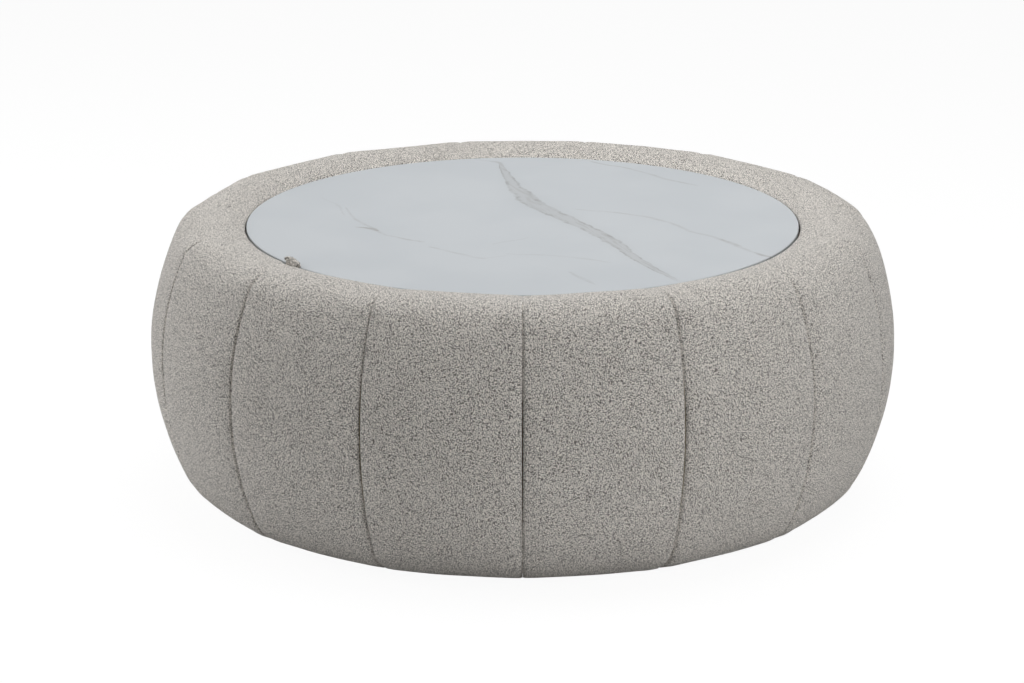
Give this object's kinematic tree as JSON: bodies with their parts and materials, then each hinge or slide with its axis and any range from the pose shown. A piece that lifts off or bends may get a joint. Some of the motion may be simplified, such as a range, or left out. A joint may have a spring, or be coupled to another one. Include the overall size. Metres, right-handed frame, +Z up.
{
  "type": "storage ottoman",
  "caption": "Low round storage ottoman with channelled looped-fabric sides and an inset veined stone lid that lifts off by a fabric loop, over a round storage well",
  "frame": {"origin": "on the floor under the middle of the ottoman, at the bottom centre of its box", "axes": "+Z up; the pictured front, a seam between two panels, faces -Y, and +X is to the viewer's right"},
  "size_m": [0.9992, 0.9987, 0.374],
  "materials": {
    "stone": "satin",
    "cover_fabric": "matte",
    "foam": "matte",
    "felt": "matte",
    "dust_cloth": "matte",
    "plywood": "matte",
    "hardboard": "matte",
    "lined_board": "matte",
    "glide_plastic": "matte",
    "screw_steel": "satin"
  },
  "bodies": {
    "base": {"base_board": "plywood", "storage_floor": "lined_board", "storage_wall": "lined_board", "drum_skin": "hardboard", "ledge_ring": "plywood", "rim_ring": "plywood", "frame_screws": "screw_steel", "dust_cover": "dust_cloth", "glides": "glide_plastic", "glide_screws": "screw_steel", "upright_01": "plywood", "upright_02": "plywood", "upright_03": "plywood", "upright_04": "plywood", "upright_05": "plywood", "upright_06": "plywood", "upright_07": "plywood", "upright_08": "plywood", "upright_09": "plywood", "upright_10": "plywood", "foam_channel_01": "foam", "foam_channel_02": "foam", "foam_channel_03": "foam", "foam_channel_04": "foam", "foam_channel_05": "foam", "foam_channel_06": "foam", "foam_channel_07": "foam", "foam_channel_08": "foam", "foam_channel_09": "foam", "foam_channel_10": "foam", "foam_channel_11": "foam", "foam_channel_12": "foam", "foam_channel_13": "foam", "foam_channel_14": "foam", "foam_channel_15": "foam", "cover_panel_01": "cover_fabric", "cover_panel_02": "cover_fabric", "cover_panel_03": "cover_fabric", "cover_panel_04": "cover_fabric", "cover_panel_05": "cover_fabric", "cover_panel_06": "cover_fabric", "cover_panel_07": "cover_fabric", "cover_panel_08": "cover_fabric", "cover_panel_09": "cover_fabric", "cover_panel_10": "cover_fabric", "cover_panel_11": "cover_fabric", "cover_panel_12": "cover_fabric", "cover_panel_13": "cover_fabric", "cover_panel_14": "cover_fabric", "cover_panel_15": "cover_fabric"},
    "lid": {"stone_top": "stone", "lid_board": "plywood", "lid_pads": "felt", "tab_tail": "cover_fabric", "tab_screws": "screw_steel"},
    "pull_tab": {"pull_tab": "cover_fabric"}
  },
  "joints": [
    {"name": "lid_lift", "type": "slide", "parent": "base", "child": "lid", "axis": [0, 0, 1], "range_m": [0, 0.3]},
    {"name": "tab_fold", "type": "hinge", "parent": "lid", "child": "pull_tab", "pos_m": [-0.29532, -0.22579, 0.365], "axis": [-0.6074, 0.7944, 0], "range_deg": [-60, 20]}
  ]
}
